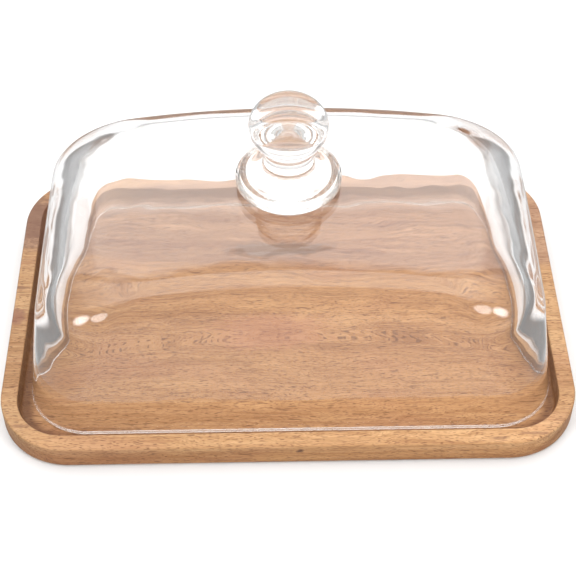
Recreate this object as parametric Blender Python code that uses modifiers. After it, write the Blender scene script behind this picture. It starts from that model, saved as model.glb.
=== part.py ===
"""Cheese dome: a clear glass cover with a glass knob, standing in the well of a rounded wooden tray.

Units are metres and +Z is up. The origin is on the table under the middle of the tray, X runs along
its length and the front faces -Y. The cover, its knob and the film that bonds them lift off together.
"""

import math
from collections import namedtuple

import bmesh
import bpy
from mathutils import Vector

# Gap left between neighbouring solids.
CLEARANCE = 0.0003

# Tray.
TRAY_LENGTH = 0.250
TRAY_WIDTH = 0.168
TRAY_HEIGHT = 0.0125
TRAY_CORNER_RADIUS = 0.0312
TRAY_BOTTOM_ROUNDING = 0.0026
TRAY_TOP_ROUNDING = 0.0010

# Well sunk into the tray, measured at the tray's top face.
WELL_LENGTH = 0.2354
WELL_WIDTH = 0.1524
WELL_CORNER_RADIUS = 0.0215
WELL_FLOOR_Z = 0.0052
WELL_WALL_INSET = 0.0008
WELL_COVE_RADIUS = 0.0016
WELL_CUTTER_RISE = 0.004

# Glass cover. Its roof is a shallow paraboloid, blended into drafted walls by a soft shoulder.
COVER_SHIFT_X = 0.0012
RIM_LENGTH = 0.2284
RIM_WIDTH = 0.1416
COVER_CORNER_RADIUS = 0.0262
RIM_THICKNESS = 0.0035
RIM_BAND_HEIGHT = 0.0016
RIM_ROUNDING = 0.0012
END_WALL_DRAFT = 0.147
SIDE_WALL_DRAFT = 0.113
ROOF_TOP_Z = 0.0882
ROOF_RADIUS_X = 0.427
ROOF_RADIUS_Y = 0.231
SHOULDER_RISE = 0.0199
SHOULDER_RUN = 0.0187
SHOULDER_FULLNESS = 0.63

# The inner face leans in more than the outer one, so the glass grows thicker up to the shoulders.
ROOF_THICKNESS = 0.0042
INNER_CORNER_RADIUS = 0.0240
INNER_END_DRAFT = 0.230
INNER_SIDE_DRAFT = 0.140
INNER_SHOULDER_RISE = 0.0150
INNER_SHOULDER_RUN = 0.0240
INNER_SIDE_RISE = 0.0160
INNER_SIDE_RUN = 0.0120
INNER_SHOULDER_FULLNESS = 0.65

# Knob, as radii and heights above the roof's top. It sits a little to the front of the middle.
KNOB_SHIFT_Y = -0.0015
BALL_RADIUS = 0.0165
BALL_HALF_HEIGHT = 0.0127
BALL_CENTRE_RISE = 0.0301
NECK_RADIUS = 0.0104
NECK_TOP_RISE = 0.0192
NECK_FOOT_RISE = 0.0128
FOOT_EDGE_RADIUS = 0.0202
FOOT_EDGE_RISE = 0.0062
FOOT_NOTCH_DEPTH = 0.0024
FOOT_NOTCH_HEIGHT = 0.0012
BASE_RADIUS = 0.0223
BASE_ROUNDING = 0.0016
BASE_UNDERSIDE_RADIUS = 0.0212
BASE_EDGE_RISE = 0.0012
BASE_TOP_TURN_DEG = 75
NECK_JOIN_FLARE = 1.04
NECK_TOP_DROP = 0.0008
NECK_WAIST = 0.985
FLARE_END_DEG = 262
FLARE_FULLNESS = 0.86
FOOT_EDGE_LIP = 0.0002

# Clear bonding film under the knob.
FILM_THICKNESS = 0.0004
FILM_RADIUS = 0.0205

# Mesh fineness.
CORNER_SEGMENTS = 8
TRAY_CORNER_SEGMENTS = 10
TRAY_BOTTOM_SEGMENTS = 3
TRAY_TOP_SEGMENTS = 2
COVE_SEGMENTS = 3
STRAIGHT_SEGMENTS = 7
WALL_ROWS = 3
SHOULDER_ROWS = 9
ROOF_ROWS = 6
RIM_STEPS = 3
TURN_STEPS = 44
BALL_STEPS = 13
FLARE_STEPS = 5
BASE_STEPS = 3
SEAT_STEPS = 4
MERGE_DISTANCE = 0.00005
SMOOTH_ANGLE = math.radians(35)

# How closely the walls' meeting with the roof is found, and what counts as one height.
CROSSING_ROUNDS = 30
SLOPE_STEP = 0.0005
SAME_HEIGHT = 1e-6

RIM_Z = WELL_FLOOR_Z + CLEARANCE
BAND_TOP_Z = RIM_Z + RIM_BAND_HEIGHT
KNOB_LIFT = FILM_THICKNESS + 2 * CLEARANCE

# One face of the glass. The side values are for its long sides and the others for its ends.
Skin = namedtuple(
    "Skin",
    "half_length half_width corner_radius end_draft side_draft below_roof"
    " rise side_rise run side_run fullness",
)

OUTER_SKIN = Skin(
    half_length=RIM_LENGTH / 2,
    half_width=RIM_WIDTH / 2,
    corner_radius=COVER_CORNER_RADIUS,
    end_draft=END_WALL_DRAFT,
    side_draft=SIDE_WALL_DRAFT,
    below_roof=0.0,
    rise=SHOULDER_RISE,
    side_rise=SHOULDER_RISE,
    run=SHOULDER_RUN,
    side_run=SHOULDER_RUN * SIDE_WALL_DRAFT / END_WALL_DRAFT,
    fullness=SHOULDER_FULLNESS,
)

INNER_SKIN = Skin(
    half_length=RIM_LENGTH / 2 - RIM_THICKNESS,
    half_width=RIM_WIDTH / 2 - RIM_THICKNESS,
    corner_radius=INNER_CORNER_RADIUS,
    end_draft=INNER_END_DRAFT,
    side_draft=INNER_SIDE_DRAFT,
    below_roof=ROOF_THICKNESS,
    rise=INNER_SHOULDER_RISE,
    side_rise=INNER_SIDE_RISE,
    run=INNER_SHOULDER_RUN,
    side_run=INNER_SIDE_RUN,
    fullness=INNER_SHOULDER_FULLNESS,
)


def clear_scene():
    for old in list(bpy.data.objects):
        bpy.data.objects.remove(old, do_unlink=True)


def new_collection(name):
    collection = bpy.data.collections.new(name)
    bpy.context.scene.collection.children.link(collection)
    return collection


def principled(name, colour, roughness, transmission=0.0, ior=1.45):
    material = bpy.data.materials.new(name)
    material.use_nodes = True
    shader = material.node_tree.nodes["Principled BSDF"]
    shader.inputs["Base Color"].default_value = (*colour, 1.0)
    shader.inputs["Roughness"].default_value = roughness
    shader.inputs["Metallic"].default_value = 0.0
    shader.inputs["Transmission Weight"].default_value = transmission
    shader.inputs["IOR"].default_value = ior
    return material


def object_from(bm, name, collection, material=None, parent=None):
    bmesh.ops.recalc_face_normals(bm, faces=bm.faces)
    mesh = bpy.data.meshes.new(name)
    bm.to_mesh(mesh)
    bm.free()
    obj = bpy.data.objects.new(name, mesh)
    collection.objects.link(obj)
    if material is not None:
        mesh.materials.append(material)
    if parent is not None:
        obj.parent = parent
    mesh.shade_smooth()
    mesh.set_sharp_from_angle(angle=SMOOTH_ANGLE)
    return obj


def arc(centre, radii, start_deg, end_deg, steps):
    """Points (across, up) of an elliptical arc, both ends included."""
    points = []
    for step in range(steps + 1):
        turn = math.radians(start_deg + (end_deg - start_deg) * step / steps)
        across = centre[0] + radii[0] * math.cos(turn)
        up = centre[1] + radii[1] * math.sin(turn)
        points.append((across, up))
    return points


# ---------------------------------------------------------------- wooden tray


def edges_at_height(bm, z):
    return [e for e in bm.edges if all(abs(v.co.z - z) < SAME_HEIGHT for v in e.verts)]


def rounded_block(length, width, low, high, corner_radius, low_inset=0.0):
    """A box with rounded vertical corners. low_inset narrows its lower face on every side."""
    bm = bmesh.new()
    bmesh.ops.create_cube(bm, size=1.0)
    for vert in bm.verts:
        inset = low_inset if vert.co.z < 0 else 0.0
        vert.co.x = math.copysign(length / 2 - inset, vert.co.x)
        vert.co.y = math.copysign(width / 2 - inset, vert.co.y)
        vert.co.z = low if vert.co.z < 0 else high
    upright = [e for e in bm.edges if abs(e.verts[0].co.z - e.verts[1].co.z) > SAME_HEIGHT]
    bmesh.ops.bevel(
        bm,
        geom=upright,
        offset=corner_radius,
        segments=TRAY_CORNER_SEGMENTS,
        profile=0.5,
        affect="EDGES",
    )
    return bm


def round_rim(bm, z, radius, segments):
    bmesh.ops.bevel(
        bm,
        geom=edges_at_height(bm, z),
        offset=radius,
        segments=segments,
        profile=0.5,
        affect="EDGES",
    )


def make_tray(parts, cutters, wood):
    body = rounded_block(TRAY_LENGTH, TRAY_WIDTH, 0.0, TRAY_HEIGHT, TRAY_CORNER_RADIUS)
    round_rim(body, 0.0, TRAY_BOTTOM_ROUNDING, TRAY_BOTTOM_SEGMENTS)
    round_rim(body, TRAY_HEIGHT, TRAY_TOP_ROUNDING, TRAY_TOP_SEGMENTS)
    tray = object_from(body, "wooden_tray", parts, wood)

    depth = TRAY_HEIGHT - WELL_FLOOR_Z
    slope = WELL_WALL_INSET / depth
    flare = slope * WELL_CUTTER_RISE
    well = rounded_block(
        WELL_LENGTH + 2 * flare,
        WELL_WIDTH + 2 * flare,
        WELL_FLOOR_Z,
        TRAY_HEIGHT + WELL_CUTTER_RISE,
        WELL_CORNER_RADIUS,
        low_inset=WELL_WALL_INSET + flare,
    )
    round_rim(well, WELL_FLOOR_Z, WELL_COVE_RADIUS, COVE_SEGMENTS)
    cutter = object_from(well, "well_cutter", cutters)
    cutter.hide_render = True
    cutter.display_type = "WIRE"

    cut = tray.modifiers.new("well", "BOOLEAN")
    cut.operation = "DIFFERENCE"
    cut.solver = "EXACT"
    cut.object = cutter
    return tray


# ---------------------------------------------------------------- glass cover


def roof_height(x, y):
    """Height of the cover's outer roof over the point (x, y), measured from the cover's middle."""
    return ROOF_TOP_Z - x * x / (2 * ROOF_RADIUS_X) - y * y / (2 * ROOF_RADIUS_Y)


def outline_point(skin, column, inset, inward=0.0):
    """(plan point, facing) of one column, facing being 1 on the long sides and 0 on the ends.

    inset is how far the end walls have come in. inward moves to a parallel outline inside.
    """
    half_x = skin.half_length - inset
    half_y = skin.half_width - inset * skin.side_draft / skin.end_draft
    centre_x = half_x - skin.corner_radius
    centre_y = half_y - skin.corner_radius
    radius = skin.corner_radius - inward
    corners = ((1, 1), (-1, 1), (-1, -1), (1, -1))
    corner, step = divmod(column, CORNER_SEGMENTS + STRAIGHT_SEGMENTS)

    def arc_point(index, share):
        sx, sy = corners[index % len(corners)]
        turn = (index + share) * math.pi / 2
        x = sx * centre_x + radius * math.cos(turn)
        y = sy * centre_y + radius * math.sin(turn)
        return Vector((x, y)), math.sin(turn) ** 2

    if step <= CORNER_SEGMENTS:
        return arc_point(corner, step / CORNER_SEGMENTS)
    share = (step - CORNER_SEGMENTS) / STRAIGHT_SEGMENTS
    start, facing = arc_point(corner, 1.0)
    end, _ = arc_point(corner + 1, 0.0)
    return start.lerp(end, share), facing


def bezier(share, a, b, c, d):
    rest = 1 - share
    return rest**3 * a + 3 * share * rest**2 * b + 3 * share**2 * rest * c + share**3 * d


def skin_column(skin, column):
    """Points of one column of a skin, from the top of the rim band up to near the roof's middle."""

    def roof_over(inset):
        return roof_height(*outline_point(skin, column, inset)[0]) - skin.below_roof

    facing = outline_point(skin, column, 0.0)[1]
    side_run = skin.side_run * skin.end_draft / skin.side_draft
    rise = skin.rise + (skin.side_rise - skin.rise) * facing
    run = skin.run + (side_run - skin.run) * facing
    crossing = skin.end_draft * (ROOF_TOP_Z - BAND_TOP_Z)
    for _ in range(CROSSING_ROUNDS):
        crossing = skin.end_draft * (roof_over(crossing) - BAND_TOP_Z)
    wall_end = crossing - skin.end_draft * rise
    wall_end_z = roof_over(crossing) - rise
    roof_start = crossing + run
    roof_start_z = roof_over(roof_start)
    roof_change = roof_over(roof_start + SLOPE_STEP) - roof_over(roof_start - SLOPE_STEP)
    roof_slope = roof_change / (2 * SLOPE_STEP)
    handle = skin.fullness * run

    points = []
    for row in range(WALL_ROWS):
        share = row / WALL_ROWS
        points.append((wall_end * share, BAND_TOP_Z + (wall_end_z - BAND_TOP_Z) * share))
    for row in range(SHOULDER_ROWS + 1):
        share = row / SHOULDER_ROWS
        inset = bezier(
            share,
            wall_end,
            wall_end + skin.fullness * (crossing - wall_end),
            roof_start - handle,
            roof_start,
        )
        z = bezier(
            share,
            wall_end_z,
            wall_end_z + skin.fullness * rise,
            roof_start_z - handle * roof_slope,
            roof_start_z,
        )
        points.append((inset, z))
    flat = [outline_point(skin, column, inset)[0] for inset, _ in points]
    placed = [Vector((p.x, p.y, z)) for p, (_, z) in zip(flat, points)]
    for row in range(1, ROOF_ROWS):
        x, y = flat[-1] * (1 - row / ROOF_ROWS)
        placed.append(Vector((x, y, roof_height(x, y) - skin.below_roof)))
    return placed


def rim_column(column):
    """Points round the foot of the glass, from its inner face to its outer one."""
    radius = RIM_ROUNDING
    centre_z = RIM_Z + radius
    profile = arc((RIM_THICKNESS - radius, centre_z), (radius, radius), 360, 270, RIM_STEPS)
    profile += arc((radius, centre_z), (radius, radius), 270, 180, RIM_STEPS)
    points = []
    for inward, z in profile:
        flat, _ = outline_point(OUTER_SKIN, column, 0.0, inward)
        points.append(Vector((flat.x, flat.y, z)))
    return points


def make_cover(parts, glass, lift):
    """A closed shell, lofted column by column down the inner skin, round the rim and up the outer."""
    bm = bmesh.new()
    count = 4 * (CORNER_SEGMENTS + STRAIGHT_SEGMENTS)
    columns = []
    for index in range(count):
        points = skin_column(INNER_SKIN, index)[::-1]
        points += rim_column(index)
        points += skin_column(OUTER_SKIN, index)
        columns.append([bm.verts.new(p) for p in points])
    inner_middle = bm.verts.new((0, 0, ROOF_TOP_Z - ROOF_THICKNESS))
    outer_middle = bm.verts.new((0, 0, ROOF_TOP_Z))
    for index, column in enumerate(columns):
        following = columns[(index + 1) % count]
        bm.faces.new((inner_middle, following[0], column[0]))
        for row in range(len(column) - 1):
            bm.faces.new((column[row], following[row], following[row + 1], column[row + 1]))
        bm.faces.new((column[-1], following[-1], outer_middle))
    return object_from(bm, "glass_cover", parts, glass, lift)


# ---------------------------------------------------------------- knob and its bond


def seat_drop(radius):
    """How far the roof has fallen at this distance from the knob's axis, on the flatter side."""
    return radius * radius / (2 * ROOF_RADIUS_X)


def seat_points(lift, radius, steps):
    """Points from the rim of a dished face to the axis, keeping a steady height over the roof."""
    radii = [radius * (1 - step / steps) for step in range(steps + 1)]
    return [(r, lift - seat_drop(r)) for r in radii]


def turned(name, profile, collection, material, parent):
    """A solid of revolution about the knob's upright axis. The profile runs from top to bottom."""
    bm = bmesh.new()
    verts = [bm.verts.new((r, 0.0, ROOF_TOP_Z + z)) for r, z in profile]
    for upper, lower in zip(verts, verts[1:]):
        bm.edges.new((upper, lower))
    obj = object_from(bm, name, collection, material, parent)
    obj.location.y = KNOB_SHIFT_Y
    screw = obj.modifiers.new("turn", "SCREW")
    screw.axis = "Z"
    screw.angle = math.tau
    screw.steps = TURN_STEPS
    screw.render_steps = TURN_STEPS
    screw.use_merge_vertices = True
    screw.merge_threshold = MERGE_DISTANCE
    screw.use_smooth_shade = True
    return obj


def knob_profile():
    """Points (radius, height over the roof's top) from the ball's top to the middle of the foot."""
    ball_centre = (0.0, BALL_CENTRE_RISE)
    ball_radii = (BALL_RADIUS, BALL_HALF_HEIGHT)
    neck_join_deg = -math.degrees(math.acos(NECK_RADIUS * NECK_JOIN_FLARE / BALL_RADIUS))
    profile = [(0.0, BALL_CENTRE_RISE + BALL_HALF_HEIGHT)]
    profile += arc(ball_centre, ball_radii, 90, neck_join_deg, BALL_STEPS)[1:]
    profile.append((NECK_RADIUS, NECK_TOP_RISE - NECK_TOP_DROP))
    profile.append((NECK_RADIUS * NECK_WAIST, (NECK_TOP_RISE + NECK_FOOT_RISE) / 2))
    flare_radii = (FOOT_EDGE_RADIUS - NECK_RADIUS, (NECK_FOOT_RISE - FOOT_EDGE_RISE) * FLARE_FULLNESS)
    flare_centre = (FOOT_EDGE_RADIUS, NECK_FOOT_RISE)
    profile += arc(flare_centre, flare_radii, 180, FLARE_END_DEG, FLARE_STEPS)
    profile.append((FOOT_EDGE_RADIUS + FOOT_EDGE_LIP, FOOT_EDGE_RISE))
    notch_z = FOOT_EDGE_RISE - FOOT_NOTCH_HEIGHT
    profile.append((FOOT_EDGE_RADIUS - FOOT_NOTCH_DEPTH, notch_z))
    base_centre = (BASE_RADIUS - BASE_ROUNDING, notch_z - BASE_ROUNDING)
    profile += arc(base_centre, (BASE_ROUNDING, BASE_ROUNDING), BASE_TOP_TURN_DEG, 0, BASE_STEPS)
    profile.append((BASE_RADIUS, BASE_EDGE_RISE))
    profile += seat_points(KNOB_LIFT, BASE_UNDERSIDE_RADIUS, SEAT_STEPS)
    return profile


def film_profile():
    top = seat_points(CLEARANCE + FILM_THICKNESS, FILM_RADIUS, SEAT_STEPS)[::-1]
    return top + seat_points(CLEARANCE, FILM_RADIUS, SEAT_STEPS)


def main():
    clear_scene()
    parts = new_collection("cheese_dome")
    cutters = new_collection("cutters")
    wood = principled("acacia_wood", (0.50, 0.29, 0.13), 0.5)
    glass = principled("clear_glass", (0.98, 0.99, 0.98), 0.02, 1.0, 1.5)
    bond = principled("clear_bond", (0.96, 0.95, 0.90), 0.08, 1.0, 1.5)

    lift = bpy.data.objects.new("cover_lift_axis", None)
    lift.location = (COVER_SHIFT_X, 0.0, 0.0)
    parts.objects.link(lift)

    make_tray(parts, cutters, wood)
    make_cover(parts, glass, lift)
    turned("knob_bond_film", film_profile(), parts, bond, lift)
    turned("glass_knob", knob_profile(), parts, glass, lift)


main()
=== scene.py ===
"""Looks for the cheese dome: an acacia tray, a pressed glass cover and its bonded glass knob.

Units are metres and +Z is up. X runs along the tray and the front faces -Y. Every place comes from
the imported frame's boxes; the profiles between those boxes are the named sizes below.
"""

import math

import bpy
import numpy as np
from mathutils import Matrix, Vector, noise


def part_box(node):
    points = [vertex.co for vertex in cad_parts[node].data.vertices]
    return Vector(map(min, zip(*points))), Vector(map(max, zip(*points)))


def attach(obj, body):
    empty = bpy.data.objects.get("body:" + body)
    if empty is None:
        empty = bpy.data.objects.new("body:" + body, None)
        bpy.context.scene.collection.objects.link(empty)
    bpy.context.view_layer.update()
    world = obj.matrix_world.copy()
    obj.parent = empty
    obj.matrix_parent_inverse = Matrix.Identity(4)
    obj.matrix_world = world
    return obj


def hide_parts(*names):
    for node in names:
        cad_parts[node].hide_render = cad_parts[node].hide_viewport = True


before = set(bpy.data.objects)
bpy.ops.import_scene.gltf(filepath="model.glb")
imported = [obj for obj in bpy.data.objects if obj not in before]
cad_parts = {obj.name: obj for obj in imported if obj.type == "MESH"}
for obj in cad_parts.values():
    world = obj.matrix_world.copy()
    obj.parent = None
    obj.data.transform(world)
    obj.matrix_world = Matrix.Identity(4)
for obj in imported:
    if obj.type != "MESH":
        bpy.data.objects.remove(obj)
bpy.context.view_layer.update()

TRAY_LOW, TRAY_HIGH = (Vector(p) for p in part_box("wooden_tray"))
COVER_LOW, COVER_HIGH = (Vector(p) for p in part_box("glass_cover"))
KNOB_LOW, KNOB_HIGH = (Vector(p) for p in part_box("glass_knob"))
FILM_LOW, FILM_HIGH = (Vector(p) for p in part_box("knob_bond_film"))

# Tray.
TRAY_CORNER_RADIUS = 0.0312
TRAY_BOTTOM_ROUNDING = 0.0026
TRAY_TOP_ROUNDING = 0.0010
WELL_LENGTH = 0.2354
WELL_WIDTH = 0.1524
WELL_CORNER_RADIUS = 0.0215
WELL_FLOOR_Z = 0.0052
WELL_WALL_INSET = 0.0008
WELL_COVE_RADIUS = 0.0016
WELL_EDGE_ROUNDING = 0.0005
FLAT_FACE_SHARES = (0.15, 0.35, 0.55, 0.75, 0.9, 0.985)
EDGE_BAND_WIDTH = 0.0004
EDGE_BAND_HEIGHT = 0.0020

# Cover.
COVER_CORNER_RADIUS = 0.0262
RIM_THICKNESS = 0.0035
RIM_BAND_HEIGHT = 0.0016
RIM_RIDGES = 4
RIDGE_VALLEY_DEG = 20
END_WALL_DRAFT = 0.147
SIDE_WALL_DRAFT = 0.113
ROOF_RADIUS_X = 0.427
ROOF_RADIUS_Y = 0.231
SHOULDER_RISE = 0.0199
SHOULDER_RUN = 0.0187
SHOULDER_FULLNESS = 0.63
ROOF_THICKNESS = 0.0042
INNER_END_DRAFT = 0.230
INNER_SIDE_DRAFT = 0.140
INNER_CORNER_RADIUS = 0.0240
INNER_SHOULDER_RISE = 0.0150
INNER_SHOULDER_RUN = 0.0240
INNER_SIDE_RISE = 0.0160
INNER_SIDE_RUN = 0.0120
INNER_SHOULDER_FULLNESS = 0.65
# Rows of faces up the wall, round the shoulder and over the roof.
COVER_ROWS = (26, 30, 40)
# The glass is even at the rim and gets its full waves this far above it.
WAVE_FREE_HEIGHT = 0.014
WAVES = (
    # wavelength along x, y and z, height, seed
    ((0.060, 0.045, 0.050), 0.00016, 3.1),
    ((0.026, 0.024, 0.030), 0.00006, 11.7),
    ((0.015, 0.013, 0.016), 0.00004, 23.9),
)

# Knob, as radii and heights above the roof's top.
BALL_RADIUS = 0.0165
BALL_HALF_HEIGHT = 0.0127
BALL_CENTRE_RISE = 0.0301
NECK_RADIUS = 0.0104
NECK_TOP_RISE = 0.0192
NECK_FOOT_RISE = 0.0128
FOOT_EDGE_RADIUS = 0.0202
FOOT_EDGE_RISE = 0.0062
FOOT_NOTCH_DEPTH = 0.0024
FOOT_NOTCH_HEIGHT = 0.0012
BASE_RADIUS = 0.0223
BASE_ROUNDING = 0.0016
BASE_UNDERSIDE_RADIUS = 0.0212
KNOB_LIFT = 0.0010
FILM_RADIUS = 0.0205
BOND_OVERLAP = 0.00005
BALL_TO_NECK_EASE = 1.04
NECK_TOP_DROP = 0.0008
NECK_WAIST_SHARE = 0.015
FLARE_FULLNESS = 0.86
FLARE_END_DEG = 262
FOOT_EDGE_LIP = 0.0002
BASE_FOOT_RISE = 0.0016

# Glass. The shade is what each skin of the cover lets through to matt surfaces.
GLASS_IOR = 1.5
COVER_SHADE = 0.91

# Wood, with colours in linear light and textures in millimetres.
TAN_TONES = (
    (0.30, (0.300, 0.134, 0.050)),
    (0.43, (0.438, 0.226, 0.095)),
    (0.52, (0.538, 0.300, 0.136)),
    (0.66, (0.650, 0.396, 0.190)),
)
HEART_TONES = (
    (0.30, (0.190, 0.086, 0.050)),
    (0.45, (0.330, 0.176, 0.105)),
    (0.58, (0.450, 0.262, 0.160)),
    (0.72, (0.560, 0.350, 0.220)),
)
ROSE = (0.430, 0.196, 0.108)
PORE_BROWN = (0.145, 0.048, 0.018)
# Painted light on the wood at the back, which lies in shade behind the cover.
REAR_PAINTED_LIGHT = (0.800, 0.620, 0.500)
REAR_RIM_PAINTED_LIGHT = (0.400, 0.270, 0.210)
# The well is darker and more saturated than the rim.
WELL_DEEPER_TONE = (0.84, 0.74, 0.64)
# Painted shade in the channel between the cover's rim and the well's wall.
CHANNEL_PAINTED_SHADE = (0.52, 0.44, 0.39)
PITH_FORWARD = 40.0
PITH_DEPTH = 46.0
PITH_SKEW = 0.07
# Marks in the wood: middle and reach in millimetres, strength and colour.
WOOD_MARKS = (
    ((4.3, -84.0, 9.2), (1.8, 3.0, 1.4), 0.90, (0.100, 0.038, 0.024)),
    ((-123.0, -8.5, 12.0), (5.0, 6.5, 9.0), 0.62, (0.190, 0.072, 0.048)),
    ((-122.5, 9.2, 12.0), (4.5, 1.2, 9.0), 0.60, (0.150, 0.058, 0.034)),
    ((-114.0, -71.0, 11.0), (6.0, 1.3, 5.0), 0.50, (0.160, 0.062, 0.034)),
    ((88.9, -81.3, 12.0), (5.0, 0.9, 5.0), 0.55, (0.170, 0.068, 0.040)),
    ((104.0, -79.0, 12.0), (8.0, 1.0, 5.0), 0.50, (0.170, 0.068, 0.040)),
    ((-121.0, 54.0, 12.0), (11.0, 22.0, 12.0), 0.80, (0.150, 0.066, 0.038)),
    # These two are a painted dark reflection on the well floor: a lens-shaped streak, its dark
    # outline round a paler middle.
    ((-3.0, 38.5, 5.0), (29.0, 6.2, 6.0), 0.90, (0.130, 0.060, 0.034)),
    ((-3.0, 38.9, 5.0), (25.0, 4.0, 6.0), 0.80, (0.260, 0.150, 0.095)),
    ((-8.0, -14.0, 5.0), (30.0, 9.0, 9.0), 0.34, (0.460, 0.190, 0.105)),
)

# Light, floor and camera.
# Soft sources as start, end and edge softness in degrees up from the rear horizon, and radiance.
SOFT_SOURCES = ((18.0, 68.0, 1.2, 1.95), (73.5, 121.0, 1.5, 1.35))
# The joint in the rear source: its height and half height in degrees, and its half width.
JOINT_CLIMB = 64.6
JOINT_HALF_CLIMB = 1.1
JOINT_HALF_WIDTH = 0.125
# Directions of unit length towards the small heads, then their size in degrees and radiance.
SMALL_HEADS = ((-0.720, -0.583, 0.377), (0.740, -0.533, 0.410))
HEAD_RADIUS = 5.5
HEAD_SOFTNESS = 4.5
HEAD_LIGHT = 18.0
ROOM_LIGHT = 0.64
GROUND_LIGHT = 0.50
SUN_STRENGTH = 0.16
SUN_WIDTH = math.radians(55)
SUN_TILT = math.radians(5)
LIGHT_BOUNCES = 100

# Shades of the floor: round the object, far off, and its sides near and far. White round the object
# and greyer far off is a painted pool of light, and the near sides are grey darkened by a painted
# shadow of the tray.
FLOOR_WHITE = 0.80
FLOOR_FAR = 0.56
NEAR_SIDE_GREY_AND_SHADOW = 0.170
FAR_SIDE_GREY = 0.280
FLOOR_HALF_SIZE = 12.0

CAMERA_PLACE = Vector((-0.0066, -0.4366, 0.4964))
CAMERA_YAW = math.radians(0.976)
CAMERA_PITCH = math.radians(47.52)
CAMERA_ROLL = math.radians(-0.14)
CAMERA_LENS = 88.4
CAMERA_SENSOR = 36.0

ROOF_TOP_Z = COVER_HIGH.z
RIM_Z = COVER_LOW.z
COVER_MIDDLE_X = (COVER_LOW.x + COVER_HIGH.x) / 2


# ---------------------------------------------------------------- mesh helpers


def arc(centre, radii, start_deg, end_deg, steps):
    """Points (across, up) of an elliptical arc, both ends included."""
    turns = np.radians(np.linspace(start_deg, end_deg, steps + 1))
    return [
        (centre[0] + radii[0] * math.cos(t), centre[1] + radii[1] * math.sin(t)) for t in turns
    ]


class Outline:
    """Plan of a rounded rectangle, cut into the same columns whatever its size."""

    def __init__(self, corner_steps, long_steps, short_steps):
        corners = ((1, 1), (-1, 1), (-1, -1), (1, -1))
        rows = []
        for index, (sx, sy) in enumerate(corners):
            nx, ny = corners[(index + 1) % 4]
            for step in range(corner_steps + 1):
                turn = (index + step / corner_steps) * math.pi / 2
                rows.append((sx, sy, math.cos(turn), math.sin(turn)))
            turn = (index + 1) * math.pi / 2
            steps = long_steps if index % 2 == 0 else short_steps
            for step in range(1, steps):
                share = step / steps
                ax = sx + (nx - sx) * share
                ay = sy + (ny - sy) * share
                rows.append((ax, ay, math.cos(turn), math.sin(turn)))
        self.ax, self.ay, self.bx, self.by = np.array(rows).T
        self.count = len(rows)

    def at(self, half_x, half_y, radius, inward=0.0):
        """(x, y) of every column. inward makes a parallel outline that far inside."""
        x = self.ax * (half_x - radius) + self.bx * (radius - inward)
        y = self.ay * (half_y - radius) + self.by * (radius - inward)
        return x, y


def mesh_object(name, points, faces, material):
    mesh = bpy.data.meshes.new(name)
    mesh.from_pydata([tuple(p) for p in points], [], faces)
    mesh.validate()
    mesh.shade_smooth()
    mesh.materials.append(material)
    obj = bpy.data.objects.new(name, mesh)
    bpy.context.scene.collection.objects.link(obj)
    return obj


def loft(name, rings, material, closed=False):
    """Joins rings of equal length, each an (n, 3) array. Open ends are closed by a fan; closed
    joins the last ring to the first."""
    count = len(rings[0])
    points = np.concatenate(rings)
    total = len(rings)
    faces = []
    for row in range(total if closed else total - 1):
        a = row * count
        b = ((row + 1) % total) * count
        for i in range(count):
            j = (i + 1) % count
            faces.append((a + i, a + j, b + j, b + i))
    if not closed:
        ends = np.array([rings[0].mean(axis=0), rings[-1].mean(axis=0)])
        first = len(points)
        points = np.concatenate([points, ends])
        last = (total - 1) * count
        for i in range(count):
            j = (i + 1) % count
            faces.append((first, j, i))
            faces.append((first + 1, last + i, last + j))
    return mesh_object(name, points, faces, material)


# ---------------------------------------------------------------- tray


def flat_rings(ring, z, shares):
    """Rings inside a flat face, each a scaled copy of its outer ring."""
    return [np.column_stack([ring[0] * s, ring[1] * s, np.full(len(ring[0]), z)]) for s in shares]


def make_tray(material):
    outline = Outline(corner_steps=24, long_steps=60, short_steps=36)
    half_x = (TRAY_HIGH.x - TRAY_LOW.x) / 2
    half_y = (TRAY_HIGH.y - TRAY_LOW.y) / 2
    low, high = TRAY_LOW.z, TRAY_HIGH.z

    def outer(inward, z):
        x, y = outline.at(half_x, half_y, TRAY_CORNER_RADIUS, inward)
        return np.column_stack([x, y, np.full(outline.count, z)])

    def inner(inward, z):
        x, y = outline.at(WELL_LENGTH / 2, WELL_WIDTH / 2, WELL_CORNER_RADIUS, inward)
        return np.column_stack([x, y, np.full(outline.count, z)])

    bottom_edge = outline.at(half_x, half_y, TRAY_CORNER_RADIUS, TRAY_BOTTOM_ROUNDING)
    rings = flat_rings(bottom_edge, low, FLAT_FACE_SHARES)
    radius = TRAY_BOTTOM_ROUNDING
    for inward, z in arc((radius, low + radius), (radius, radius), 270, 180, 8):
        rings.append(outer(inward, z))
    radius = TRAY_TOP_ROUNDING
    rings.append(outer(0.0, high - radius - EDGE_BAND_HEIGHT))
    for inward, z in arc((radius, high - radius), (radius, radius), 180, 90, 6):
        rings.append(outer(inward, z))
    rings.append(outer(radius + EDGE_BAND_WIDTH, high))
    radius = WELL_EDGE_ROUNDING
    rings.append(inner(-radius - EDGE_BAND_WIDTH, high))
    for outward, z in arc((radius, high - radius), (radius, radius), 90, 180, 5):
        rings.append(inner(-outward, z))
    radius = WELL_COVE_RADIUS
    foot = WELL_WALL_INSET
    rings.append(inner(foot / 2, (WELL_FLOOR_Z + high) / 2))
    for inward, z in arc((radius, WELL_FLOOR_Z + radius), (radius, radius), 180, 270, 7):
        rings.append(inner(foot + inward, z))
    floor_edge = outline.at(WELL_LENGTH / 2, WELL_WIDTH / 2, WELL_CORNER_RADIUS, foot + radius)
    rings += flat_rings(floor_edge, WELL_FLOOR_Z, reversed(FLAT_FACE_SHARES))
    return loft("tray_board", rings, material)


# ---------------------------------------------------------------- cover


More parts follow.
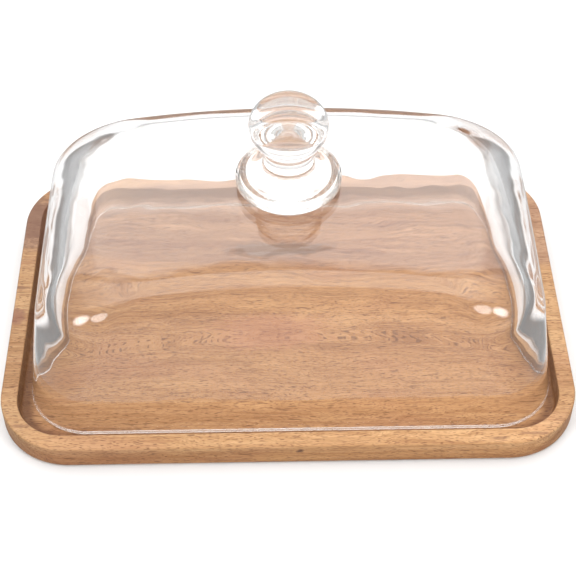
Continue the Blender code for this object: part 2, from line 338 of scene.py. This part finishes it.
def bezier(share, a, b, c, d):
    rest = 1 - share
    return rest**3 * a + 3 * share * rest**2 * b + 3 * share**2 * rest * c + share**3 * d


def roof_height(x, y):
    return ROOF_TOP_Z - x * x / (2 * ROOF_RADIUS_X) - y * y / (2 * ROOF_RADIUS_Y)


def cover_surface(outline, skin, wall_rows, shoulder_rows, roof_rows):
    """One skin of the cover above its rim band, as (rows, columns, 3), about the cover's middle."""

    def plan(inset):
        side = inset * skin["side_draft"] / skin["end_draft"]
        return outline.at(skin["half_x"] - inset, skin["half_y"] - side, skin["corner"])

    def roof_over(inset):
        return roof_height(*plan(inset)) - skin["below_roof"]

    side_share = outline.by**2
    side_run = skin["side_run"] * skin["end_draft"] / skin["side_draft"]
    rise = skin["rise"] + (skin["side_rise"] - skin["rise"]) * side_share
    run = skin["run"] + (side_run - skin["run"]) * side_share
    fullness = skin["fullness"]
    band_top = RIM_Z + RIM_BAND_HEIGHT
    # Where the wall, carried on, would meet the roof. A few rounds settle it.
    crossing = np.full(outline.count, skin["end_draft"] * (ROOF_TOP_Z - band_top))
    for _ in range(40):
        crossing = skin["end_draft"] * (roof_over(crossing) - band_top)
    wall_end = crossing - skin["end_draft"] * rise
    wall_end_z = roof_over(crossing) - rise
    roof_start = crossing + run
    roof_start_z = roof_over(roof_start)
    nudge = 0.0005
    roof_slope = (roof_over(roof_start + nudge) - roof_over(roof_start - nudge)) / (2 * nudge)
    handle = fullness * run

    rows = []
    for share in np.linspace(0, 1, wall_rows, endpoint=False):
        rows.append((wall_end * share, band_top + (wall_end_z - band_top) * share))
    for share in np.linspace(0, 1, shoulder_rows, endpoint=False):
        inset = bezier(
            share,
            wall_end,
            wall_end + fullness * (crossing - wall_end),
            roof_start - handle,
            roof_start,
        )
        z = bezier(
            share,
            wall_end_z,
            wall_end_z + fullness * rise,
            roof_start_z - handle * roof_slope,
            roof_start_z,
        )
        rows.append((inset, z))
    surface = [np.column_stack([*plan(inset), z]) for inset, z in rows]
    edge_x, edge_y = plan(roof_start)
    for share in np.linspace(1, 0, roof_rows, endpoint=False):
        x, y = edge_x * share, edge_y * share
        z = roof_height(x, y) - skin["below_roof"]
        surface.append(np.column_stack([x, y, z]))
    return np.array(surface)


def outward_normals(surface):
    along = np.roll(surface, -1, axis=1) - np.roll(surface, 1, axis=1)
    up = np.gradient(surface, axis=0)
    normals = np.cross(along, up)
    return normals / np.linalg.norm(normals, axis=2, keepdims=True)


def glass_wave(point):
    """How much thicker the pressed glass is here: slow waves that bend what is seen through it."""
    total = 0.0
    for lengths, height, seed in WAVES:
        place = Vector([2 * p / w + seed for p, w in zip(point, lengths)])
        total += height * noise.noise(place)
    return total


def make_cover(material):
    outline = Outline(corner_steps=20, long_steps=56, short_steps=30)
    half_x = (COVER_HIGH.x - COVER_LOW.x) / 2
    half_y = (COVER_HIGH.y - COVER_LOW.y) / 2
    outside = {
        "half_x": half_x,
        "half_y": half_y,
        "corner": COVER_CORNER_RADIUS,
        "end_draft": END_WALL_DRAFT,
        "side_draft": SIDE_WALL_DRAFT,
        "below_roof": 0.0,
        "rise": SHOULDER_RISE,
        "side_rise": SHOULDER_RISE,
        "run": SHOULDER_RUN,
        "side_run": SHOULDER_RUN * SIDE_WALL_DRAFT / END_WALL_DRAFT,
        "fullness": SHOULDER_FULLNESS,
    }
    inside = {
        "half_x": half_x - RIM_THICKNESS,
        "half_y": half_y - RIM_THICKNESS,
        "corner": INNER_CORNER_RADIUS,
        "end_draft": INNER_END_DRAFT,
        "side_draft": INNER_SIDE_DRAFT,
        "below_roof": ROOF_THICKNESS,
        "rise": INNER_SHOULDER_RISE,
        "side_rise": INNER_SIDE_RISE,
        "run": INNER_SHOULDER_RUN,
        "side_run": INNER_SIDE_RUN,
        "fullness": INNER_SHOULDER_FULLNESS,
    }
    outer = cover_surface(outline, outside, *COVER_ROWS)
    inner = cover_surface(outline, inside, *COVER_ROWS)
    normals = outward_normals(inner)
    waves = np.array([[glass_wave(p) for p in row] for row in inner])
    waves *= np.clip((inner[:, :, 2] - RIM_Z) / WAVE_FREE_HEIGHT, 0, 1)
    inner = inner - normals * waves[:, :, None]

    # Under the rim run fine rounded ridges, side by side.
    radius = RIM_THICKNESS / (2 * RIM_RIDGES)
    profile = []
    for ridge in range(RIM_RIDGES):
        start = 180 if ridge == 0 else 180 + RIDGE_VALLEY_DEG
        end = 360 if ridge == RIM_RIDGES - 1 else 360 - RIDGE_VALLEY_DEG
        centre = (radius * (2 * ridge + 1), RIM_Z + radius)
        profile += arc(centre, (radius, radius), start, end, 8)
    rim = []
    for inward, z in profile:
        x, y = outline.at(half_x, half_y, COVER_CORNER_RADIUS, inward)
        rim.append(np.column_stack([x, y, np.full(outline.count, z)]))

    rings = list(inner[::-1]) + rim[::-1] + list(outer)
    for ring in rings:
        ring[:, 0] += COVER_MIDDLE_X
    return loft("cover_shell", rings, material)


# ---------------------------------------------------------------- knob


def seat_drop(radius):
    return radius * radius / (2 * ROOF_RADIUS_X)


def turned(name, profile, steps, material, middle):
    """A solid of revolution. The profile runs from the top of the axis to its bottom, and loft's
    fans stand for its two ends."""
    turns = np.linspace(0, math.tau, steps, endpoint=False)
    rings = []
    for radius, height in profile[1:-1]:
        ring = np.column_stack(
            [
                middle.x + radius * np.cos(turns),
                middle.y + radius * np.sin(turns),
                np.full(steps, ROOF_TOP_Z + height),
            ]
        )
        rings.append(ring)
    return loft(name, rings[::-1], material)


def knob_profile():
    ball_centre = (0.0, BALL_CENTRE_RISE)
    neck_join = -math.degrees(math.acos(NECK_RADIUS * BALL_TO_NECK_EASE / BALL_RADIUS))
    profile = arc(ball_centre, (BALL_RADIUS, BALL_HALF_HEIGHT), 90, neck_join, 48)
    neck_top = NECK_TOP_RISE - NECK_TOP_DROP
    profile.append((NECK_RADIUS, neck_top))
    for share in (0.25, 0.5, 0.75):
        waist = NECK_WAIST_SHARE * NECK_RADIUS * math.sin(math.pi * share)
        profile.append((NECK_RADIUS - waist, neck_top + (NECK_FOOT_RISE - neck_top) * share))
    flare_run = FOOT_EDGE_RADIUS - NECK_RADIUS
    flare_fall = NECK_FOOT_RISE - FOOT_EDGE_RISE
    flare_centre = (NECK_RADIUS + flare_run, NECK_FOOT_RISE)
    profile += arc(flare_centre, (flare_run, flare_fall * FLARE_FULLNESS), 180, FLARE_END_DEG, 20)
    profile.append((FOOT_EDGE_RADIUS + FOOT_EDGE_LIP, FOOT_EDGE_RISE))
    notch_z = FOOT_EDGE_RISE - FOOT_NOTCH_HEIGHT
    profile.append((FOOT_EDGE_RADIUS - FOOT_NOTCH_DEPTH, notch_z))
    base_centre = (BASE_RADIUS - BASE_ROUNDING, notch_z - BASE_ROUNDING)
    profile += arc(base_centre, (BASE_ROUNDING, BASE_ROUNDING), 75, 0, 10)
    profile.append((BASE_RADIUS, BASE_FOOT_RISE))
    profile += [(r, KNOB_LIFT - seat_drop(r)) for r in np.linspace(BASE_UNDERSIDE_RADIUS, 0, 12)]
    return profile


def make_knob(material):
    middle = (KNOB_LOW + KNOB_HIGH) / 2
    return turned("knob_turned", knob_profile(), 128, material, middle)


def make_film(material):
    middle = (FILM_LOW + FILM_HIGH) / 2
    low, high = -BOND_OVERLAP, KNOB_LIFT + BOND_OVERLAP
    radii = np.linspace(0, FILM_RADIUS, 12)
    profile = [(r, high - seat_drop(r)) for r in radii]
    profile += [(r, low - seat_drop(r)) for r in radii[::-1]]
    return turned("bond_film", profile, 96, material, middle)


# ---------------------------------------------------------------- materials


def new_material(name):
    material = bpy.data.materials.new(name)
    material.use_nodes = True
    material.node_tree.nodes.clear()
    return material, material.node_tree


def add(tree, kind, values=None, **settings):
    """A node with its settings and socket values. A value that is a socket is linked."""
    made = tree.nodes.new(kind)
    for key, value in settings.items():
        setattr(made, key, value)
    for key, value in (values or {}).items():
        socket = made.inputs[key]
        if isinstance(value, bpy.types.NodeSocket):
            tree.links.new(value, socket)
        else:
            socket.default_value = value
    return made


def clear_glass(name, tint, shade):
    """Glass that lets lamp light and the light of matt surfaces straight through, times shade."""
    material, tree = new_material(name)
    path = add(tree, "ShaderNodeLightPath")
    glass = add(
        tree,
        "ShaderNodeBsdfPrincipled",
        {
            "Base Color": (*tint, 1.0),
            "Roughness": 0.0,
            "IOR": GLASS_IOR,
            "Transmission Weight": 1.0,
        },
    )
    through = add(tree, "ShaderNodeBsdfTransparent", {"Color": (shade, shade, shade, 1.0)})
    soft = add(
        tree,
        "ShaderNodeMixShader",
        {0: path.outputs["Is Diffuse Ray"], 1: glass.outputs[0], 2: through.outputs[0]},
    )
    both = add(
        tree,
        "ShaderNodeMixShader",
        {0: path.outputs["Is Shadow Ray"], 1: soft.outputs[0], 2: through.outputs[0]},
    )
    add(tree, "ShaderNodeOutputMaterial", {"Surface": both.outputs[0]})
    return material


class Graph:
    """Short names for the maths and texture nodes of one material."""

    def __init__(self, tree):
        self.tree = tree

    def maths(self, operation, *values):
        inputs = dict(enumerate(values))
        return add(self.tree, "ShaderNodeMath", inputs, operation=operation).outputs[0]

    def vector(self, operation, *values):
        inputs = {index: value for index, value in enumerate(values) if value is not None}
        made = add(self.tree, "ShaderNodeVectorMath", inputs, operation=operation)
        return made.outputs["Value" if operation in ("LENGTH", "DOT_PRODUCT") else "Vector"]

    def product(self, *values):
        total = values[0]
        for value in values[1:]:
            total = self.maths("MULTIPLY", total, value)
        return total

    def split(self, vector):
        """The three parts of a vector."""
        return add(self.tree, "ShaderNodeSeparateXYZ", {0: vector}).outputs

    def join(self, *parts):
        """A vector of up to three parts. The missing ones are 0."""
        return add(self.tree, "ShaderNodeCombineXYZ", dict(enumerate(parts))).outputs[0]

    def noise(self, place, scale, detail=2.0, roughness=0.5, shift=0.0):
        stretched = self.vector("MULTIPLY_ADD", place, scale, (shift, shift, shift))
        inputs = {"Vector": stretched, "Scale": 1.0, "Detail": detail, "Roughness": roughness}
        return add(self.tree, "ShaderNodeTexNoise", inputs).outputs["Fac"]

    def smooth(self, value, low, high, to_low=0.0, to_high=1.0):
        inputs = {"Value": value, 1: low, 2: high, 3: to_low, 4: to_high}
        return add(
            self.tree, "ShaderNodeMapRange", inputs, interpolation_type="SMOOTHSTEP"
        ).outputs[0]

    def ramp(self, value, stops):
        made = add(self.tree, "ShaderNodeValToRGB", {"Fac": value})
        band = made.color_ramp
        while len(band.elements) < len(stops):
            band.elements.new(0.5)
        for element, (position, colour) in zip(band.elements, stops):
            element.position = position
            element.color = (*colour, 1.0)
        return made.outputs["Color"]

    def mix(self, share, a, b, blend="MIX"):
        made = add(self.tree, "ShaderNodeMix", {0: share}, data_type="RGBA", blend_type=blend)
        for socket, value in ((made.inputs[6], a), (made.inputs[7], b)):
            if isinstance(value, bpy.types.NodeSocket):
                self.tree.links.new(value, socket)
            else:
                socket.default_value = (*value, 1.0)
        return made.outputs[2]


def wood_tone(g, grain):
    """Light and dark of the grain, and its finest fibres."""
    # Growth layers are shells about a pith below and in front of the board.
    split = g.split(grain)
    across = g.maths("MULTIPLY_ADD", split[0], PITH_SKEW, split[1])
    across = g.maths("ADD", across, PITH_FORWARD)
    below = g.maths("ADD", split[2], PITH_DEPTH)
    radius = g.vector("LENGTH", g.join(across, below))
    layer_place = g.join(radius)
    layers = g.noise(layer_place, (0.17, 1.0, 1.0), 3.0, 0.6)
    fine_layers = g.noise(layer_place, (0.9, 1.0, 1.0), 2.0, shift=7.0)
    streaks = g.noise(grain, (0.012, 0.55, 0.55), 4.0, 0.6, shift=3.0)
    fibres = g.noise(grain, (0.06, 3.2, 3.2), 2.0, shift=5.0)
    tone = g.maths("MULTIPLY_ADD", layers, 0.55, g.maths("MULTIPLY", streaks, 0.45))
    tone = g.maths("ADD", tone, g.maths("MULTIPLY_ADD", fine_layers, 0.14, -0.07))
    tone = g.maths("ADD", tone, g.maths("MULTIPLY_ADD", fibres, 0.36, -0.18))
    return tone, fibres


def in_heartwood(g, mm, x, y):
    """Reddish heartwood lies towards the back, its front edge wavy."""
    edge_wave = g.noise(mm, (0.02, 0.12, 0.12), 3.0, shift=19.0)
    line = g.maths("MULTIPLY_ADD", x, 0.055, y)
    line = g.maths("MULTIPLY_ADD", edge_wave, 12.0, g.maths("SUBTRACT", line, 6.0))
    front_edge = g.smooth(line, 24.0, 30.0)
    back = g.maths("MULTIPLY_ADD", x, -0.25, y)
    back_edge = g.smooth(back, 92.0, 98.0, 1.0, 0.0)
    return g.maths("MULTIPLY", front_edge, back_edge)


def pore_mask(g, grain):
    """Open pores: short and long dark dashes along the grain."""
    pores = g.noise(grain, (0.46, 3.2, 3.2), 0.0, shift=41.0)
    long_pores = g.noise(grain, (0.15, 1.3, 1.3), 1.0, shift=57.0)
    return g.maths("MAXIMUM", g.smooth(pores, 0.60, 0.72), g.smooth(long_pores, 0.63, 0.72))


def in_channel(g, x, y, z):
    """The well's wall and the floor beside it, outside the cover's rim, except at the back: where
    shade is painted.
    """
    corner_x = (WELL_LENGTH / 2 - WELL_CORNER_RADIUS) * 1000
    corner_y = (WELL_WIDTH / 2 - WELL_CORNER_RADIUS) * 1000
    past_x = g.maths("MAXIMUM", g.maths("SUBTRACT", g.maths("ABSOLUTE", x), corner_x), 0.0)
    past_y = g.maths("MAXIMUM", g.maths("SUBTRACT", g.maths("ABSOLUTE", y), corner_y), 0.0)
    from_core = g.vector("LENGTH", g.join(past_x, past_y))
    outside_cover = g.smooth(from_core, 13.8, 17.8)
    inside_rim = g.smooth(from_core, 21.8, 22.6, 1.0, 0.0)
    below_top = g.smooth(z, 11.4, 12.2, 1.0, 0.0)
    not_rear = g.smooth(y, 40.0, 60.0, 1.0, 0.0)
    return g.product(outside_cover, inside_rim, below_top, not_rear)


def tones_and_painted_light(g, colour, x, y, z, rise):
    """Darker in the well and at the ends; painted shade on upright faces and in the channel;
    painted light on the wood at the back.
    """
    # Darker and more saturated in the well, except on the rim and at the back.
    rim_share = g.smooth(z, 6.5, 12.0)
    rear_share = g.smooth(y, 72.5, 74.5)
    light_share = g.maths("MAXIMUM", rim_share, rear_share)
    colour = g.mix(light_share, g.mix(1.0, colour, WELL_DEEPER_TONE, "MULTIPLY"), colour)
    dark_left = g.smooth(x, -130.0, 70.0, 0.88, 1.03)
    dark_ends = g.smooth(g.maths("ABSOLUTE", x), 104.0, 120.0, 1.0, 0.86)
    colour = g.vector("SCALE", colour, None, None, g.maths("MULTIPLY", dark_left, dark_ends))

    # Painted light on wood in shade behind the cover: the wood in front of the rear rim is paler
    # along the middle, and the rim itself rosier.
    off_ends = g.smooth(g.maths("ABSOLUTE", x), 100.0, 112.0, 1.0, 0.0)
    rear_painted_light = g.smooth(y, 62.0, 71.0, 0.0, 0.38)
    before_rim = g.maths("SUBTRACT", 1.0, rear_share)
    colour = g.mix(g.product(rear_painted_light, before_rim, off_ends), colour, REAR_PAINTED_LIGHT)
    colour = g.mix(g.product(rear_share, off_ends, 0.30), colour, REAR_RIM_PAINTED_LIGHT)

    # Painted shade: upright faces are darker than the top.
    upright = g.smooth(rise, 0.25, 0.75, 0.90, 1.0)
    colour = g.vector("SCALE", colour, None, None, upright)
    # Painted shade in the channel between the cover's rim and the well's wall.
    darker = g.mix(1.0, colour, CHANNEL_PAINTED_SHADE, "MULTIPLY")
    return g.mix(in_channel(g, x, y, z), colour, darker)


def marked(g, colour, mm):
    """Knots and stains, and a painted dark reflection: the long lens-shaped streak on the well
    floor.
    """
    rough_edge = g.noise(mm, (0.35, 0.55, 0.55), 2.0, shift=71.0)
    ragged = g.maths("MULTIPLY_ADD", rough_edge, 1.2, -0.6)
    for middle, reach, strength, stain in WOOD_MARKS:
        away = g.vector("DIVIDE", g.vector("SUBTRACT", mm, middle), reach)
        far = g.maths("ADD", g.vector("LENGTH", away), ragged)
        colour = g.mix(g.smooth(far, 0.45, 1.1, strength, 0.0), colour, stain)
    return colour


def wood_material():
    """Oiled acacia sawn flat, its grain along X."""
    material, tree = new_material("acacia_wood_finish")
    g = Graph(tree)
    place = add(tree, "ShaderNodeTexCoord").outputs["Object"]
    facing = add(tree, "ShaderNodeNewGeometry").outputs["Normal"]
    mm = g.vector("MULTIPLY", place, (1000, 1000, 1000))
    x, y, z = g.split(mm)

    # The grain wanders sideways slowly, and a little faster near the knots.
    drift = g.noise(mm, (0.008, 0.03, 0.03), 2.0)
    ripple = g.noise(mm, (0.035, 0.09, 0.09), 2.0, shift=31.0)
    sway = g.maths("MULTIPLY_ADD", drift, 16.0, -8.0)
    sway = g.maths("MULTIPLY_ADD", ripple, 5.0, sway)
    grain = g.vector("ADD", mm, g.join(0.0, sway, sway))

    tone, fibres = wood_tone(g, grain)
    cloud = g.noise(mm, (0.016, 0.045, 0.045), 2.0, shift=13.0)
    tan = g.mix(g.smooth(cloud, 0.50, 0.70, 0.0, 0.35), g.ramp(tone, TAN_TONES), ROSE)
    heart_share = g.maths("MULTIPLY", in_heartwood(g, mm, x, y), 0.75)
    colour = g.mix(heart_share, tan, g.ramp(tone, HEART_TONES))
    pores = pore_mask(g, grain)
    colour = g.mix(g.maths("MULTIPLY", pores, 0.66), colour, PORE_BROWN)
    colour = tones_and_painted_light(g, colour, x, y, z, g.split(facing)[2])
    colour = marked(g, colour, mm)

    height = g.maths("MULTIPLY_ADD", pores, -1.0, g.maths("MULTIPLY", fibres, 0.35))
    bump = add(tree, "ShaderNodeBump", {"Strength": 0.35, "Distance": 0.00025, "Height": height})
    rough = g.smooth(tone, 0.25, 0.75, 0.62, 0.46)
    shader = add(
        tree,
        "ShaderNodeBsdfPrincipled",
        {"Base Color": colour, "Roughness": rough, "IOR": 1.42, "Normal": bump.outputs[0]},
    )
    add(tree, "ShaderNodeOutputMaterial", {"Surface": shader.outputs[0]})
    return material


# ---------------------------------------------------------------- floor, light and camera


def make_floor():
    """A plain white floor. What the glass bends into its corners is darker: the studio's sides,
    grey with a painted shadow of the tray near it, and round the object a painted pool of light.
    """
    half = FLOOR_HALF_SIZE
    corners = [(-half, -half, 0), (half, -half, 0), (half, half, 0), (-half, half, 0)]
    material, tree = new_material("pale_floor")
    g = Graph(tree)
    place = add(tree, "ShaderNodeNewGeometry").outputs["Position"]
    x, y, _ = g.split(place)
    aside = g.maths("ABSOLUTE", x)
    away = g.maths("MULTIPLY_ADD", y, -0.18, aside)
    share = g.product(
        g.smooth(away, 0.142, 0.166),
        g.smooth(aside, 0.65, 0.85, 1.0, 0.0),
        g.smooth(y, -0.16, -0.08),
        g.smooth(y, 0.48, 0.62, 1.0, 0.0),
    )
    # The near sides' grey is darkened by a painted shadow of the tray.
    grey = g.smooth(aside, 0.21, 0.33, NEAR_SIDE_GREY_AND_SHADOW, FAR_SIDE_GREY)
    reach = g.vector("LENGTH", g.vector("MULTIPLY", place, (1, 1, 0)))
    # A painted pool of light: white round the object, greyer far off.
    floor_light_pool = g.smooth(reach, 0.55, 0.80, FLOOR_WHITE, FLOOR_FAR)
    shade = g.maths("MULTIPLY_ADD", share, g.maths("SUBTRACT", grey, floor_light_pool), floor_light_pool)
    seen = add(tree, "ShaderNodeLightPath").outputs["Is Camera Ray"]
    shade = g.maths("MAXIMUM", shade, g.maths("MULTIPLY", seen, FLOOR_WHITE))
    colour = g.join(shade, shade, shade)
    shader = add(tree, "ShaderNodeBsdfDiffuse", {"Color": colour, "Roughness": 0.5})
    add(tree, "ShaderNodeOutputMaterial", {"Surface": shader.outputs[0]})
    floor = mesh_object("floor", corners, [(0, 1, 2, 3)], material)
    floor.visible_glossy = False


def make_world():
    world = bpy.data.worlds.new("studio")
    bpy.context.scene.world = world
    world.use_nodes = True
    tree = world.node_tree
    tree.nodes.clear()
    g = Graph(tree)
    direction = add(tree, "ShaderNodeTexCoord").outputs["Generated"]
    x, y, z = g.split(direction)
    # Two wide soft sources, seen as bands about the X axis with a narrow gap between them: one
    # behind the object and one overhead. The room on the camera's side is dimmer.
    climb = g.maths("ARCTAN2", z, y)
    aside = g.maths("ABSOLUTE", x)
    width = g.smooth(aside, 0.62, 0.80, 1.0, 0.0)
    total = ROOM_LIGHT
    for start, end, soft, light in SOFT_SOURCES:
        opens = g.smooth(climb, math.radians(start - soft), math.radians(start + soft))
        closes = g.smooth(climb, math.radians(end - soft), math.radians(end + soft), 1.0, 0.0)
        band = g.product(opens, closes, width)
        total = g.maths("MULTIPLY_ADD", band, light, total)
    # A joint in the rear source shows as a slim dim lens.
    off_x = g.maths("DIVIDE", x, JOINT_HALF_WIDTH)
    off_climb = g.maths("SUBTRACT", climb, math.radians(JOINT_CLIMB))
    off_climb = g.maths("DIVIDE", off_climb, math.radians(JOINT_HALF_CLIMB))
    lens = g.maths("ADD", g.product(off_x, off_x), g.product(off_climb, off_climb))
    dim = g.smooth(lens, 0.5, 1.1, 0.45, 1.0)
    strength = g.maths("MULTIPLY", total, dim)
    # Two small bright heads stand in front, one to each side.
    for side, forward, up in SMALL_HEADS:
        towards = g.vector("DOT_PRODUCT", direction, (side, forward, up))
        inside = math.cos(math.radians(HEAD_RADIUS - HEAD_SOFTNESS))
        outside = math.cos(math.radians(HEAD_RADIUS + HEAD_SOFTNESS))
        head = g.smooth(towards, outside, inside)
        strength = g.maths("MULTIPLY_ADD", head, HEAD_LIGHT, strength)
    # Below the horizon only mirror rays meet the world, since the floor hides it from all others.
    below = g.smooth(z, -0.02, 0.02, 1.0, 0.0)
    strength = g.maths("MULTIPLY", strength, g.maths("SUBTRACT", 1.0, below))
    strength = g.maths("MULTIPLY_ADD", below, GROUND_LIGHT, strength)
    # Seen directly, the backdrop is as white as the floor.
    seen = add(tree, "ShaderNodeLightPath").outputs["Is Camera Ray"]
    strength = g.maths("MAXIMUM", strength, seen)
    background = add(tree, "ShaderNodeBackground", {"Color": (1, 1, 1, 1), "Strength": strength})
    add(tree, "ShaderNodeOutputWorld", {"Surface": background.outputs[0]})


def make_sun():
    """A broad lamp from above the camera, for matt surfaces only: the glass doesn't mirror it."""
    data = bpy.data.lights.new("top_lamp", "SUN")
    data.energy = SUN_STRENGTH
    data.angle = SUN_WIDTH
    sun = bpy.data.objects.new("top_lamp", data)
    sun.rotation_euler = (SUN_TILT, 0.0, 0.0)
    sun.visible_glossy = False
    sun.visible_transmission = False
    bpy.context.scene.collection.objects.link(sun)


def make_camera():
    data = bpy.data.cameras.new("camera")
    data.lens = CAMERA_LENS
    data.sensor_width = CAMERA_SENSOR
    data.clip_start = 0.01
    camera = bpy.data.objects.new("camera", data)
    level = math.cos(CAMERA_PITCH)
    forward = Vector(
        (math.sin(CAMERA_YAW) * level, math.cos(CAMERA_YAW) * level, -math.sin(CAMERA_PITCH))
    )
    right = Vector((math.cos(CAMERA_YAW), -math.sin(CAMERA_YAW), 0.0))
    up = right.cross(forward)
    turned_right = right * math.cos(CAMERA_ROLL) + up * math.sin(CAMERA_ROLL)
    turned_up = up * math.cos(CAMERA_ROLL) - right * math.sin(CAMERA_ROLL)
    rotation = Matrix((turned_right, turned_up, -forward)).transposed()
    camera.matrix_world = Matrix.Translation(CAMERA_PLACE) @ rotation.to_4x4()
    bpy.context.scene.collection.objects.link(camera)
    bpy.context.scene.camera = camera


# ---------------------------------------------------------------- build


def place_piece(piece, body, node):
    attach(piece, body)
    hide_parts(node)


wood = wood_material()
cover_glass = clear_glass("cover_glass", (1.0, 1.0, 1.0), COVER_SHADE)
knob_glass = clear_glass("knob_glass_finish", (1.0, 1.0, 1.0), 1.0)
bond_glass = clear_glass("bond_finish", (1.0, 0.99, 0.97), 1.0)

place_piece(make_tray(wood), "tray", "wooden_tray")
place_piece(make_cover(cover_glass), "cover", "glass_cover")
place_piece(make_knob(knob_glass), "cover", "glass_knob")
place_piece(make_film(bond_glass), "cover", "knob_bond_film")

make_floor()
make_world()
make_sun()
make_camera()
bpy.context.scene.cycles.max_bounces = LIGHT_BOUNCES
bpy.context.scene.cycles.transmission_bounces = LIGHT_BOUNCES
bpy.context.scene.cycles.glossy_bounces = LIGHT_BOUNCES
bpy.context.scene.cycles.transparent_max_bounces = LIGHT_BOUNCES
bpy.context.scene.view_settings.view_transform = "Standard"
